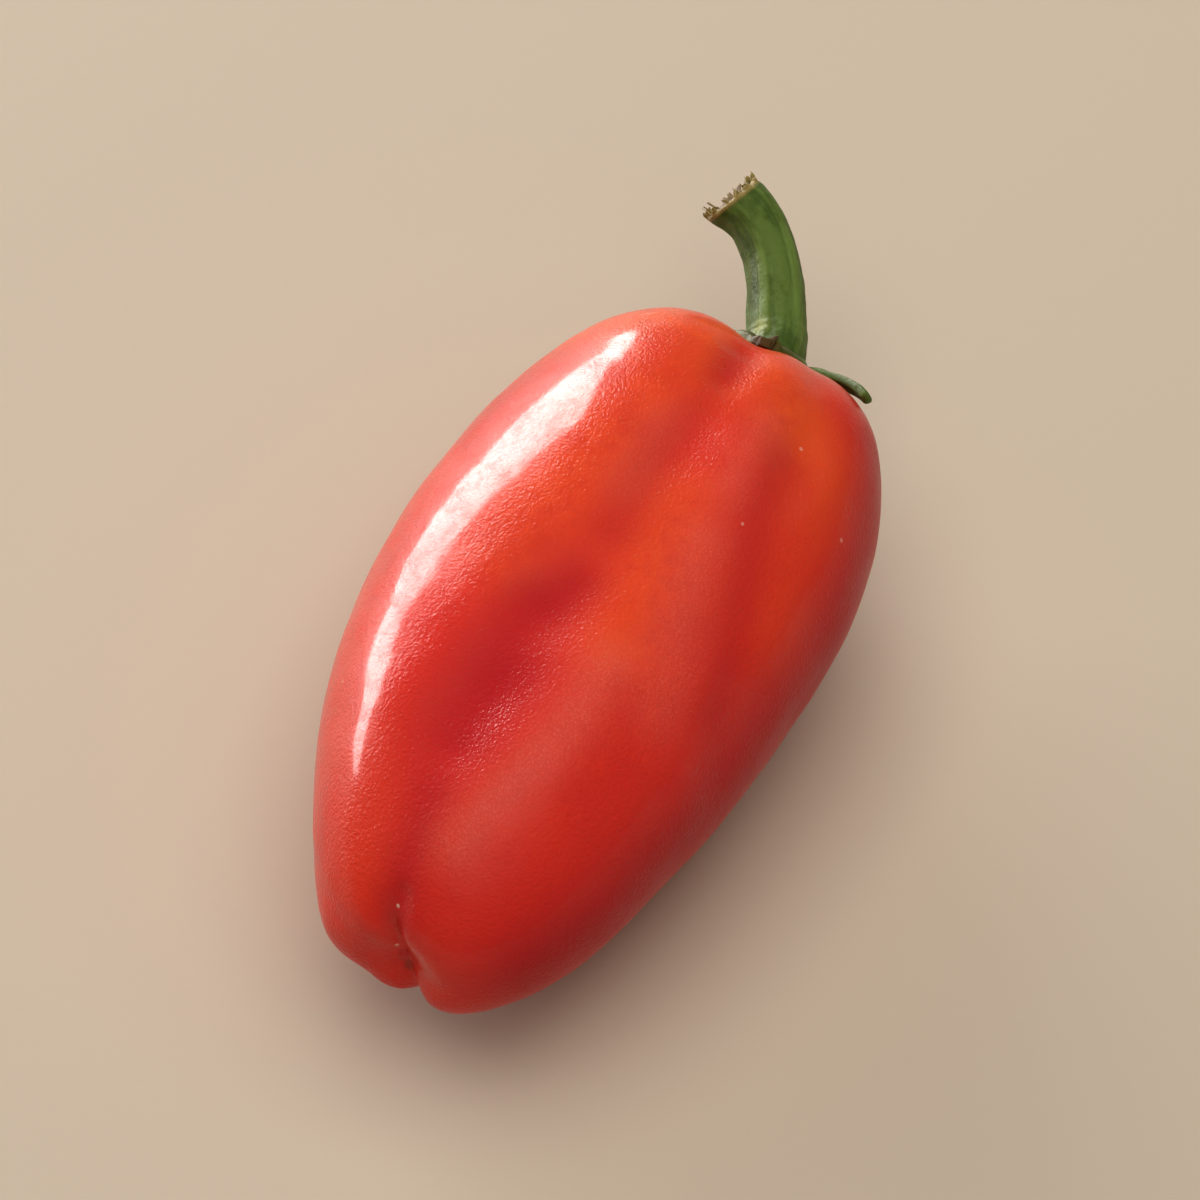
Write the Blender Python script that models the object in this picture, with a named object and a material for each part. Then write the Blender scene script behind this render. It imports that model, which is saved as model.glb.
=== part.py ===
"""A lunchbox sweet pepper lying on its side: a red pod, and the green calyx and stem that grow from it.

Units are metres and +Z is up. The pod's long axis runs along X, with the stem end towards +X, and the
frame's origin is in the middle of the small flat spot that the pod rests on.

A place on the pod's skin is given by two angles. The first, polar, goes from 0 at the stem end to pi at
the blossom tip. The second, around, turns about the long axis: 0 faces +Y and 90 degrees faces +Z.
"""

import random
from collections import namedtuple
from math import acos, atan2, cos, exp, pi, radians, sin

import bmesh
import bpy
from mathutils import Matrix, Vector, noise

COLLECTION_NAME = "lunchbox_sweet_pepper"

# Pod: its plain body, before the furrows.
POD_LENGTH = 0.0723
POD_WIDTH = 0.0387
POD_HEIGHT = 0.0347
STEM_END_BIAS = 0.131
END_TAPER = -0.049
SEGMENTS_AROUND = 80
RINGS = 46
POLE_CROWDING = 0.22
REST_CUT = 0.0006

# A row of seven values is read evenly from the stem end to the tip, at every 30 degrees of the polar angle.
CENTRELINE_SIDE = (0.0007, 0.0008, 0.0010, 0.0018, 0.0015, 0.0010, 0.0012)
CENTRELINE_RISE = (0.0, 0.0, 0.0, 0.0, 0.0005, -0.0006, -0.0015)

# Furrows between the lobes. Angles are degrees around the axis, a depth is a share of the pod's radius
# there, and widths are in radians.
Furrow = namedtuple("Furrow", "angles depths widths")
FURROWS = (
    Furrow(
        (95, 95, 97, 99, 82, 64, 80),
        (0.24, 0.15, 0.09, 0.075, 0.085, 0.09, 0.42),
        (0.30, 0.31, 0.34, 0.36, 0.33, 0.27, 0.22),
    ),
    Furrow(
        (215, 215, 215, 212, 228, 250, 268),
        (0.16, 0.11, 0.07, 0.045, 0.06, 0.12, 0.42),
        (0.35, 0.38, 0.40, 0.40, 0.35, 0.28, 0.24),
    ),
    Furrow(
        (-25, -25, -25, -28, -38, -48, -55),
        (0.16, 0.11, 0.07, 0.045, 0.04, 0.04, 0.05),
        (0.35, 0.38, 0.40, 0.40, 0.35, 0.32, 0.30),
    ),
    Furrow(
        (128, 128, 130, 137, 140, 140, 140),
        (0.09, 0.075, 0.055, 0.012, 0.0, 0.0, 0.0),
        (0.25, 0.25, 0.24, 0.25, 0.25, 0.25, 0.25),
    ),
)

# How much further the crest of a lobe reaches at the stem end and at the tip.
Reach = namedtuple("Reach", "angle stem_end tip width")
REACHES = (
    Reach(35, 0.0034, -0.0008, 0.6),
    Reach(155, 0.0028, 0.0018, 0.6),
    Reach(210, 0.0, 0.0024, 0.6),
    Reach(275, 0.0012, 0.0, 0.6),
)

# The stem end is sunk in a round hollow, and the blossom tip in a small one: depth, and radius as a share
# of the pod's half width.
STEM_HOLLOW = (0.0045, 0.38)
TIP_HOLLOW = (0.0025, 0.20)

# Dents beside the main furrow: place along the axis from 1 to -1, degrees around, depth, then the
# distance along and the angle around over which each one fades.
Dent = namedtuple("Dent", "along angle depth length width")
DENTS = (
    Dent(0.34, 97, 0.00045, 0.0035, 0.16),
    Dent(-0.13, 92, 0.00065, 0.0030, 0.26),
    Dent(-0.42, 84, 0.00060, 0.0045, 0.28),
    Dent(0.58, 131, 0.00035, 0.0035, 0.16),
    Dent(0.10, 245, 0.00050, 0.0060, 0.30),
    Dent(-0.35, 310, 0.00045, 0.0050, 0.25),
)
WAVE_HEIGHT = 0.00022
WAVE_LENGTH = 0.013
NORMAL_STEP = 0.01

# Calyx: a wrinkled disc that rises to the stem in the middle, with a rounded tooth for each sepal. A
# tooth has its angle in degrees around the axis, and how far its tip lies from the axis.
CALYX_RADIUS = 0.0064
CALYX_SCALLOP = 0.09
CALYX_SCALLOP_WIDTH = 0.3
CALYX_RIM_SHARPNESS = 6
CALYX_THICKNESS = 0.0010
CALYX_CROWN_HEIGHT = 0.0032
CALYX_CROWN_RADIUS = 0.0042
CALYX_FOLD_HEIGHT = 0.00018
CALYX_SEGMENTS = 72
CALYX_RINGS = 16
SKIN_GAP = 0.00035
Tooth = namedtuple("Tooth", "angle reach width")
TEETH = (
    Tooth(32, 0.0078, 0.0016),
    Tooth(97, 0.0070, 0.0016),
    Tooth(157, 0.0120, 0.0017),
    Tooth(212, 0.0098, 0.0018),
    Tooth(272, 0.0104, 0.0016),
    Tooth(330, 0.0090, 0.0017),
)
TOOTH_THICKNESS = 0.0012
TOOTH_SIDES = 12
TOOTH_RINGS = 10
TOOTH_ROOT = 0.0035
TOOTH_ROOT_SWELL = 1.25
TOOTH_TAPER = 0.35
TOOTH_TIP_LIFT = 0.0003

# Stem: its middle line from the bottom of the stem hollow, and its radius at each point.
STEM_START_DEPTH = 0.0015
StemPoint = namedtuple("StemPoint", "x y z radius")
STEM_POINTS = (
    StemPoint(0.0000, 0.0000, 0.0000, 0.0031),
    StemPoint(0.0036, 0.0002, 0.0001, 0.0028),
    StemPoint(0.0062, 0.0013, 0.0006, 0.0026),
    StemPoint(0.0089, 0.0027, 0.0015, 0.0025),
    StemPoint(0.0114, 0.0046, 0.0025, 0.0024),
    StemPoint(0.0132, 0.0069, 0.0036, 0.0025),
    StemPoint(0.0140, 0.0096, 0.0044, 0.0027),
    StemPoint(0.0143, 0.0126, 0.0050, 0.0029),
)
STEM_SIDES = 40
STEM_RIDGES = 5
STEM_RIDGE_HEIGHT = 0.09
STEM_STEPS = 5
WELD_DISTANCE = 0.00002
CUT_POINT = Vector((0.0137, 0.0094, 0.0042))
CUT_NORMAL = Vector((0.25, 0.83, 0.50))

# Torn fibres that stand out of the stem's cut end.
FIBRE_COUNT = 13
FIBRE_SIDES = 6
FIBRE_RADIUS = 0.00055
FIBRE_TIP_SHARE = 0.4
FIBRE_LENGTH = (0.0002, 0.0012)
FIBRE_SINK = 0.0011
FIBRE_RING = (0.0013, 0.0019)
FIBRE_LEAN = (0.1, 0.6)
FIBRE_SCATTER = 0.6
FIBRE_SEED = 5

POD_COLOUR = (0.62, 0.035, 0.018, 1.0)
STEM_COLOUR = (0.085, 0.150, 0.024, 1.0)


def stations(values, polar):
    """The value at a polar angle, from a row of values read evenly from the stem end to the tip."""
    last = len(values) - 1
    place = min(max(polar / pi, 0.0), 1.0) * last
    first = min(int(place), last - 1)
    share = place - first
    start, end = values[first], values[first + 1]
    before = values[first - 1] if first > 0 else 2 * start - end
    after = values[first + 2] if first + 2 <= last else 2 * end - start
    bend = 2 * before - 5 * start + 4 * end - after
    turn = 3 * (start - end) + after - before
    return start + 0.5 * share * (end - before + share * (bend + share * turn))


def bell(distance):
    return exp(-distance * distance)


def turn_between(angle, other):
    return (angle - other + pi) % (2 * pi) - pi


def body_point(polar, around):
    """A point of the pod's skin, before the pod is set down on its flat spot."""
    along = cos(polar)
    profile = sin(polar) * (1 + STEM_END_BIAS * along - END_TAPER * cos(2 * polar)) / (1 + END_TAPER)
    for furrow in FURROWS:
        distance = turn_between(around, radians(stations(furrow.angles, polar)))
        width = stations(furrow.widths, polar)
        profile *= 1 - stations(furrow.depths, polar) * bell(distance / width)
    x = POD_LENGTH / 2 * along
    for reach in REACHES:
        crest = bell(turn_between(around, radians(reach.angle)) / reach.width) * sin(polar) * along**2
        x += crest * (reach.stem_end if along > 0 else -reach.tip)
    if along > 0:
        x -= STEM_HOLLOW[0] * bell(profile / STEM_HOLLOW[1])
    else:
        x += TIP_HOLLOW[0] * bell(profile / TIP_HOLLOW[1])
    outward = Vector((0, cos(around), sin(around)))
    point = Vector((x, POD_WIDTH / 2 * profile * outward.y, POD_HEIGHT / 2 * profile * outward.z))
    for dent in DENTS:
        along_share = bell(POD_LENGTH / 2 * (along - dent.along) / dent.length)
        point -= outward * dent.depth * along_share * bell(turn_between(around, radians(dent.angle)) / dent.width)
    point += outward * WAVE_HEIGHT * noise.noise(point / WAVE_LENGTH) * sin(polar)
    return point + Vector((0, stations(CENTRELINE_SIDE, polar), stations(CENTRELINE_RISE, polar)))


def flat_spot():
    """The height of the flat spot and its middle, found on the skin before it is set down."""
    skin = [
        body_point(pi * ring / RINGS, 2 * pi * step / SEGMENTS_AROUND)
        for ring in range(1, RINGS)
        for step in range(SEGMENTS_AROUND)
    ]
    height = min(point.z for point in skin) + REST_CUT
    below = [point for point in skin if point.z < height]
    middle = sum(below, Vector()) / len(below)
    return Vector((middle.x, middle.y, height))


FLAT_SPOT = flat_spot()


def pod_point(polar, around):
    point = body_point(polar, around) - FLAT_SPOT
    point.z = max(point.z, 0.0)
    return point


def pod_normal(polar, around):
    step = NORMAL_STEP
    down = pod_point(polar + step, around) - pod_point(max(polar - step, step / 10), around)
    across = pod_point(polar, around + step) - pod_point(polar, around - step)
    return down.cross(across).normalized()


def add_material(name, colour, roughness):
    material = bpy.data.materials.new(name)
    material.use_nodes = True
    shader = material.node_tree.nodes["Principled BSDF"]
    shader.inputs["Base Color"].default_value = colour
    shader.inputs["Roughness"].default_value = roughness
    shader.inputs["Metallic"].default_value = 0.0
    material.diffuse_color = colour
    return material


def add_object(name, mesh, collection):
    new = bpy.data.objects.new(name, mesh)
    collection.objects.link(new)
    return new


def add_shaped_sphere(name, segments, rings, place, collection):
    """A UV sphere with its poles on X, each of its points moved to place(polar, around)."""
    shape = bmesh.new()
    bmesh.ops.create_uvsphere(shape, u_segments=segments, v_segments=rings, radius=1.0)
    for vertex in shape.verts:
        polar = acos(max(-1.0, min(1.0, vertex.co.z)))
        vertex.co = place(polar, atan2(vertex.co.y, vertex.co.x))
    mesh = bpy.data.meshes.new(name)
    shape.to_mesh(mesh)
    shape.free()
    return add_object(name, mesh, collection)


def skin_place(polar, around):
    """Where a point of the pod's sphere goes. The rings lie closer together near both ends."""
    return pod_point(polar - POLE_CROWDING * sin(2 * polar) / 2, around)


def skin_polar(distance):
    """The polar angle of the skin at this distance from the axis, near the stem end."""
    spread = POD_WIDTH / 2 * (1 + STEM_END_BIAS - END_TAPER) / (1 + END_TAPER)
    return max(distance / spread, 1e-4)


def above_skin(distance, around, height):
    polar = skin_polar(distance)
    return pod_point(polar, around) + height * pod_normal(polar, around)


def calyx_place(polar, around):
    """Where a point of the calyx's sphere goes: one half becomes its outer face, the other its underside."""
    share = sin(polar)
    nearest = min(abs(turn_between(around, radians(tooth.angle))) for tooth in TEETH)
    scallop = CALYX_SCALLOP * (bell(nearest / CALYX_SCALLOP_WIDTH) - 0.5)
    distance = share * CALYX_RADIUS * (1 + scallop)
    half = CALYX_THICKNESS / 2 * (1 - share**CALYX_RIM_SHARPNESS) ** 0.5
    height = SKIN_GAP + CALYX_THICKNESS / 2
    if polar < pi / 2:
        crown = CALYX_CROWN_HEIGHT * bell(distance / CALYX_CROWN_RADIUS)
        folds = CALYX_FOLD_HEIGHT * sin(3 * len(TEETH) * around) * sin(pi * share) ** 2
        height += half + crown + folds
    else:
        height -= half
    return above_skin(distance, around, height)


def stem_base():
    """The bottom of the stem hollow, raised into the thick middle of the calyx."""
    return pod_point(1e-4, 0.0) + Vector((SKIN_GAP + STEM_START_DEPTH, 0, 0))


def add_stem_section():
    """The stem's ridged cross-section, one millimetre in radius, as a closed curve."""
    curve = bpy.data.curves.new("stem_section", "CURVE")
    curve.dimensions = "2D"
    spline = curve.splines.new("POLY")
    spline.points.add(STEM_SIDES - 1)
    for index, point in enumerate(spline.points):
        angle = 2 * pi * index / STEM_SIDES
        radius = 0.001 * (1 + STEM_RIDGE_HEIGHT * cos(STEM_RIDGES * angle))
        point.co = (radius * cos(angle), radius * sin(angle), 0, 1)
    spline.use_cyclic_u = True
    return curve


def add_stem(collection):
    """The stem: a ridged tube along a bent path, cut across at an angle, as a closed mesh."""
    section = add_object("stem_section", add_stem_section(), collection)
    path = bpy.data.curves.new("stem_path", "CURVE")
    path.dimensions = "3D"
    path.resolution_u = STEM_STEPS
    path.bevel_mode = "OBJECT"
    path.bevel_object = section
    path.use_fill_caps = True
    spline = path.splines.new("BEZIER")
    spline.bezier_points.add(len(STEM_POINTS) - 1)
    for knot, point in zip(spline.bezier_points, STEM_POINTS):
        knot.co = stem_base() + Vector((point.x, point.y, point.z))
        knot.handle_left_type = "AUTO"
        knot.handle_right_type = "AUTO"
        knot.radius = point.radius * 1000
    route = add_object("stem_path", path, collection)
    bpy.context.view_layer.update()
    graph = bpy.context.evaluated_depsgraph_get()
    mesh = bpy.data.meshes.new_from_object(route.evaluated_get(graph))
    bpy.data.objects.remove(route)
    bpy.data.objects.remove(section)

    shape = bmesh.new()
    shape.from_mesh(mesh)
    bmesh.ops.remove_doubles(shape, verts=shape.verts, dist=WELD_DISTANCE)
    everything = shape.verts[:] + shape.edges[:] + shape.faces[:]
    cut = bmesh.ops.bisect_plane(
        shape,
        geom=everything,
        plane_co=stem_base() + CUT_POINT,
        plane_no=CUT_NORMAL,
        clear_outer=True,
    )
    rim = [item for item in cut["geom_cut"] if isinstance(item, bmesh.types.BMEdge)]
    bmesh.ops.contextual_create(shape, geom=rim)
    bmesh.ops.recalc_face_normals(shape, faces=shape.faces)
    shape.to_mesh(mesh)
    shape.free()
    return add_object("stem", mesh, collection)


def add_teeth(collection):
    """The calyx's teeth: flattened fingers with round tips, which lie along the skin."""
    for index, tooth in enumerate(TEETH):
        shape = bmesh.new()
        bmesh.ops.create_uvsphere(shape, u_segments=TOOTH_SIDES, v_segments=TOOTH_RINGS, radius=1.0)
        around = radians(tooth.angle)
        for vertex in shape.verts:
            polar = acos(max(-1.0, min(1.0, vertex.co.z)))
            along = (1 - cos(polar)) / 2
            distance = TOOTH_ROOT + (tooth.reach - TOOTH_ROOT) * along
            swell = sin(polar) ** 0.5 * (TOOTH_ROOT_SWELL - TOOTH_TAPER * along)
            turn = atan2(vertex.co.y, vertex.co.x)
            sideways = tooth.width / 2 * swell * cos(turn)
            raised = TOOTH_THICKNESS / 2 * (1 + swell * sin(turn)) + TOOTH_TIP_LIFT * along**2
            vertex.co = above_skin(distance, around + sideways / distance, SKIN_GAP + raised)
        bmesh.ops.recalc_face_normals(shape, faces=shape.faces)
        mesh = bpy.data.meshes.new(f"tooth_{index}")
        shape.to_mesh(mesh)
        shape.free()
        add_object(f"tooth_{index}", mesh, collection)


def add_fibres(collection):
    """Short tapered fibres round the edge of the cut end, leaning outwards."""
    draw = random.Random(FIBRE_SEED)
    middle = stem_base() + CUT_POINT
    normal = CUT_NORMAL.normalized()
    across = normal.cross(Vector((0, 0, 1))).normalized()
    upright = across.cross(normal)
    for index in range(FIBRE_COUNT):
        angle = 2 * pi * (index + FIBRE_SCATTER * draw.random()) / FIBRE_COUNT
        sideways = across * cos(angle) + upright * sin(angle)
        length = draw.uniform(*FIBRE_LENGTH)
        axis = (normal + sideways * draw.uniform(*FIBRE_LEAN)).normalized()
        root = middle + sideways * draw.uniform(*FIBRE_RING) - axis * FIBRE_SINK
        shape = bmesh.new()
        bmesh.ops.create_cone(
            shape,
            cap_ends=True,
            segments=FIBRE_SIDES,
            radius1=FIBRE_RADIUS,
            radius2=FIBRE_RADIUS * FIBRE_TIP_SHARE,
            depth=length + FIBRE_SINK,
            matrix=Matrix.Translation((0, 0, (length + FIBRE_SINK) / 2)),
        )
        bmesh.ops.rotate(shape, verts=shape.verts, matrix=axis.to_track_quat("Z", "X").to_matrix())
        bmesh.ops.translate(shape, verts=shape.verts, vec=root)
        mesh = bpy.data.meshes.new(f"fibre_{index}")
        shape.to_mesh(mesh)
        shape.free()
        add_object(f"fibre_{index}", mesh, collection)


def join_by_union(body, others):
    """One Boolean union of the body with every object of the other collection, applied to its mesh."""
    union = body.modifiers.new("Grown together", "BOOLEAN")
    union.operation = "UNION"
    union.operand_type = "COLLECTION"
    union.collection = others
    union.solver = "EXACT"
    bpy.context.view_layer.update()
    graph = bpy.context.evaluated_depsgraph_get()
    mesh = bpy.data.meshes.new_from_object(body.evaluated_get(graph))
    body.modifiers.clear()
    body.data = mesh
    for other in list(others.objects):
        bpy.data.objects.remove(other)
    bpy.data.collections.remove(others)


def main():
    for old in list(bpy.data.objects):
        bpy.data.objects.remove(old)
    pepper = bpy.data.collections.new(COLLECTION_NAME)
    bpy.context.scene.collection.children.link(pepper)
    grown = bpy.data.collections.new("joined_to_the_calyx")
    bpy.context.scene.collection.children.link(grown)
    grown.hide_render = True

    pod = add_shaped_sphere("pod", SEGMENTS_AROUND, RINGS, skin_place, pepper)
    pod.data.materials.append(add_material("pod_skin", POD_COLOUR, 0.22))

    green = add_shaped_sphere("stem_and_calyx", CALYX_SEGMENTS, CALYX_RINGS, calyx_place, pepper)
    add_stem(grown)
    add_teeth(grown)
    add_fibres(grown)
    join_by_union(green, grown)
    green.data.materials.append(add_material("stem_skin", STEM_COLOUR, 0.55))


main()
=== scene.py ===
# %% [markdown]
# # A lunchbox sweet pepper
#
# The real thing is one small ripe pepper that lies on its side. It has two pieces: a glossy red pod, and
# a green calyx that grew as one body with the stem. The frame already holds both as plain solids at their
# real size. They could be shown as they are, with a better colour. Here each is given a finer surface
# instead, because a pepper is known by its soft dents, its torn stem and the way its skin takes the light.
# The frame is loaded first, since everything else is measured from it.

# %% Load the frame
import random
from collections import namedtuple
from math import atan2, cos, exp, hypot, pi, radians, sin

import bmesh
import bpy
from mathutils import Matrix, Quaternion, Vector
from mathutils.kdtree import KDTree


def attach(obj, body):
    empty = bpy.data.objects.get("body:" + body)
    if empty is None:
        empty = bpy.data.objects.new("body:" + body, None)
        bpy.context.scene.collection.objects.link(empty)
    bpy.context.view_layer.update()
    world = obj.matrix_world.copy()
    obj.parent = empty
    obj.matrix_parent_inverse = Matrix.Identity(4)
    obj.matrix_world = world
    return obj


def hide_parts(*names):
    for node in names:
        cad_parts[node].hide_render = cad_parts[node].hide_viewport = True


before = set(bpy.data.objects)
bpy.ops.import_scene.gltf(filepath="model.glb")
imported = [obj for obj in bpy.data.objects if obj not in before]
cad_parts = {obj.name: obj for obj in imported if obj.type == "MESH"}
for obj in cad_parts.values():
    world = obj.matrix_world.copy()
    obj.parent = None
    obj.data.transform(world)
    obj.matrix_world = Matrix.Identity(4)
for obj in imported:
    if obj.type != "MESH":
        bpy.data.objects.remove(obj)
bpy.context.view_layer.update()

MM = 0.001
pod_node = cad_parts["pod"]
print("Frame loaded:", sorted(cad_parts))

# %% [markdown]
# ## The camera
#
# The photograph was taken with a long lens, from well above the table. The stem end lies away from the
# camera and a little to the right. A long lens keeps the near end of the pepper from looking large, so the
# camera stands far off and its lens is worked out from how much of the table the picture takes in. The
# picture is framed on this one pepper.

# %% Camera
LOOK_DOWN = radians(55)
LOOK_HEADING = radians(26.5)
CAMERA_DISTANCE = 0.75
CAMERA_AIM = Vector((-0.0021, -0.0004, 0.0202))
PICTURE_WIDTH = 0.1031
SENSOR_WIDTH = 36.0

heading = Vector((cos(LOOK_HEADING), sin(LOOK_HEADING), 0))
towards_camera = Vector((0, 0, sin(LOOK_DOWN))) - heading * cos(LOOK_DOWN)

camera_data = bpy.data.cameras.new("camera")
camera_data.sensor_width = SENSOR_WIDTH
camera_data.lens = SENSOR_WIDTH * CAMERA_DISTANCE / PICTURE_WIDTH
camera = bpy.data.objects.new("camera", camera_data)
bpy.context.scene.collection.objects.link(camera)
camera.location = CAMERA_AIM + towards_camera * CAMERA_DISTANCE
camera.rotation_euler = (-towards_camera).to_track_quat("-Z", "Y").to_euler()
bpy.context.scene.camera = camera
print("Lens in millimetres:", round(camera_data.lens, 1))

# %% [markdown]
# ## Selecting by place
#
# Blender's tools act on what is selected. By hand the selection is made with the mouse, and here it is
# made by a test on each point's place. These helpers do that, and every piece below uses them.


# %% Helpers for selecting
def choose(piece):
    """Makes the piece the only selected object, and the active one."""
    bpy.ops.object.select_all(action="DESELECT")
    piece.select_set(True)
    bpy.context.view_layer.objects.active = piece


def start_editing(piece, kind="VERT"):
    choose(piece)
    bpy.ops.object.mode_set(mode="EDIT")
    bpy.ops.mesh.select_mode(type=kind)
    bpy.ops.mesh.select_all(action="DESELECT")


def stop_editing():
    bpy.ops.object.mode_set(mode="OBJECT")


def select_points(piece, wanted):
    """Selects the points that pass the test, with the edges and faces between them, and counts them."""
    bpy.ops.mesh.select_mode(type="VERT")
    bpy.ops.mesh.select_all(action="DESELECT")
    shape = bmesh.from_edit_mesh(piece.data)
    for point in shape.verts:
        point.select = wanted(point)
    shape.select_flush_mode()
    bmesh.update_edit_mesh(piece.data)
    return sum(point.select for point in shape.verts)


def select_faces(piece, wanted):
    bpy.ops.mesh.select_mode(type="FACE")
    bpy.ops.mesh.select_all(action="DESELECT")
    shape = bmesh.from_edit_mesh(piece.data)
    for face in shape.faces:
        face.select_set(wanted(face))
    bmesh.update_edit_mesh(piece.data)
    return sum(face.select for face in shape.faces)


def apply_modifier(piece, name):
    choose(piece)
    bpy.ops.object.modifier_apply(modifier=name)


def subdivide_smoothly(piece, levels):
    """Rounds the piece off with a Subdivision Surface modifier, and applies it."""
    smooth = piece.modifiers.new("smooth", "SUBSURF")
    smooth.levels = levels
    smooth.render_levels = levels
    apply_modifier(piece, "smooth")


def turn_between(angle, other):
    return (angle - other + pi) % (2 * pi) - pi


def bell(distance):
    return exp(-distance * distance)


print("Helpers ready")

# %% [markdown]
# ## The pod: a fine copy of the frame's solid
#
# The pod is the hollow fruit itself. It has three lobes with a furrow between each two of them, a hollow
# round the stem and a cleft at the tip. It could be sculpted again from a sphere, but the frame's solid
# already has that form, so a copy of its mesh is the start. Its triangles are loose, so they are merged
# and paired into four-sided faces, which subdivide into an even, smooth skin.

# %% Copy the pod and join its triangles
MERGE_DISTANCE = 1e-6
POD_LEVELS = 2

pod = bpy.data.objects.new("pod_skin", pod_node.data.copy())
bpy.context.scene.collection.objects.link(pod)
choose(pod)
bpy.ops.mesh.customdata_custom_splitnormals_clear()
start_editing(pod)
bpy.ops.mesh.select_all(action="SELECT")
bpy.ops.mesh.remove_doubles(threshold=MERGE_DISTANCE)
bpy.ops.mesh.tris_convert_to_quads(face_threshold=pi, shape_threshold=pi)
bpy.ops.mesh.faces_shade_smooth()
stop_editing()
four_sided = sum(len(face.vertices) == 4 for face in pod.data.polygons)
print("Pod cage:", len(pod.data.polygons), "faces,", four_sided, "of them four-sided")

# %% Subdivide the pod
subdivide_smoothly(pod, POD_LEVELS)
print("Pod skin:", len(pod.data.polygons), "faces")

# %% [markdown]
# ## The pod: uneven flesh
#
# A pepper's wall swells unevenly as it grows, so its skin is never a clean curve. That shows in the edge
# of every highlight. Bump in the material could fake it, but then the outline would stay smooth. Two
# Displace modifiers with cloud noise, one broad and one small, move the real surface instead.

# %% Broad and small waves
Wave = namedtuple("Wave", "size height")
POD_WAVES = (Wave(0.011, 0.00040), Wave(0.0042, 0.00011))


def raise_waves(piece, waves):
    """Moves the surface in and out by cloud noise, with one Displace modifier for each wave."""
    for wave in waves:
        clouds = bpy.data.textures.new("waves", "CLOUDS")
        clouds.noise_scale = wave.size
        clouds.noise_depth = 1
        swell = piece.modifiers.new("swell", "DISPLACE")
        swell.texture = clouds
        swell.texture_coords = "LOCAL"
        swell.strength = wave.height
        swell.mid_level = 0.5
        apply_modifier(piece, "swell")


raise_waves(pod, POD_WAVES)
print("Waves raised on the pod:", len(POD_WAVES))

# %% [markdown]
# ## The pod: dents, folds and pinches
#
# The photograph shows where the wall has sunk: a long dent low in the main furrow, one across it nearer the
# stem, a fine crease that runs into the cleft at the tip, and shallow hollows on the right lobe. Each is
# pressed in by moving a few points with proportional editing, as a thumb would press clay. A place on the
# skin is given by its distance along the pod in millimetres and by its angle round the pod in degrees.

# %% Press dents into the skin
POD_MIDDLE_HEIGHT = 0.0165
ROUTE_STEP = 0.0006
Press = namedtuple("Press", "route depth reach")
PRESSES = (
    # The notch by the stem, and the faint furrow that runs on from it.
    Press(((22.0, 101), (17.0, 102)), 0.00045, 0.0032),
    Press(((11.0, 102), (5.7, 99)), 0.00030, 0.0042),
    Press(((1.0, 98), (-3.0, 97)), 0.00024, 0.0040),
    # The dent across the main furrow, then the long oval dent.
    Press(((-13.0, 84), (-10.5, 93), (-7.5, 98)), 0.00042, 0.0060),
    Press(((-17.0, 91), (-21.0, 90), (-24.5, 88)), 0.00055, 0.0085),
    # The furrow runs on towards the cleft at the tip.
    Press(((-28.5, 90), (-32.6, 88), (-36.5, 88)), 0.00025, 0.0040),
    # The right lobe: its faint furrow and a hollow beside it.
    Press(((14.0, 133), (8.5, 131)), 0.00028, 0.0042),
    Press(((3.1, 134), (-5.0, 142)), 0.00030, 0.0055),
    # The left lobe, then the side and the underside that the photograph doesn't show.
    Press(((-10.0, 62), (-17.0, 60)), 0.00030, 0.0065),
    Press(((-8.0, 158), (-14.0, 160)), 0.00030, 0.0060),
    Press(((10.0, 245), (2.0, 250)), 0.00040, 0.0060),
    Press(((-10.0, 318), (-18.0, 322)), 0.00040, 0.0060),
    Press(((-22.0, 205), (-27.0, 208)), 0.00035, 0.0050),
    Press(((12.0, 350), (18.0, 348)), 0.00030, 0.0050),
)


def skin_at(along, angle):
    """The point and the normal of the pod's skin, found by a ray from its middle line outwards."""
    outwards = Vector((0, cos(radians(angle)), sin(radians(angle))))
    start = Vector((along * MM, 0, POD_MIDDLE_HEIGHT))
    found, place, normal, _ = pod.ray_cast(start, outwards)
    if not found:
        raise ValueError(f"no skin at {along} mm, {angle} degrees")
    return place, normal


def walk(route):
    """Closely spaced points on the skin along a route, each with its normal."""
    footprints = []
    for first, last in zip(route, route[1:]):
        length = (skin_at(*last)[0] - skin_at(*first)[0]).length
        steps = max(1, round(length / ROUTE_STEP))
        for step in range(steps + 1):
            share = step / steps
            along = first[0] + (last[0] - first[0]) * share
            angle = first[1] + (last[1] - first[1]) * share
            footprints.append(skin_at(along, angle))
    return footprints


def tree_of(places):
    """A search tree over places, which finds the nearest one to any point quickly."""
    tree = KDTree(len(places))
    for index, place in enumerate(places):
        tree.insert(place, index)
    tree.balance()
    return tree


def drag(push, reach):
    """Moves the selected points, and less and less what lies within reach of them."""
    bpy.ops.transform.translate(
        value=push,
        use_proportional_edit=True,
        proportional_edit_falloff="SMOOTH",
        proportional_size=reach,
    )


def push_points(plans):
    """Drags sets of points, each set by its own push and with its own reach."""
    start_editing(pod)
    for chosen, push, reach in plans:
        select_points(pod, lambda point: point.index in chosen)
        drag(push, reach)
    stop_editing()


skin = tree_of([point.co for point in pod.data.vertices])
plans = []
for press in PRESSES:
    footprints = walk(press.route)
    chosen = {skin.find(place)[1] for place, normal in footprints}
    inwards = -sum((normal for place, normal in footprints), Vector()).normalized()
    plans.append((chosen, inwards * press.depth, press.reach))
push_points(plans)
print("Dents pressed:", len(PRESSES))

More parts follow.
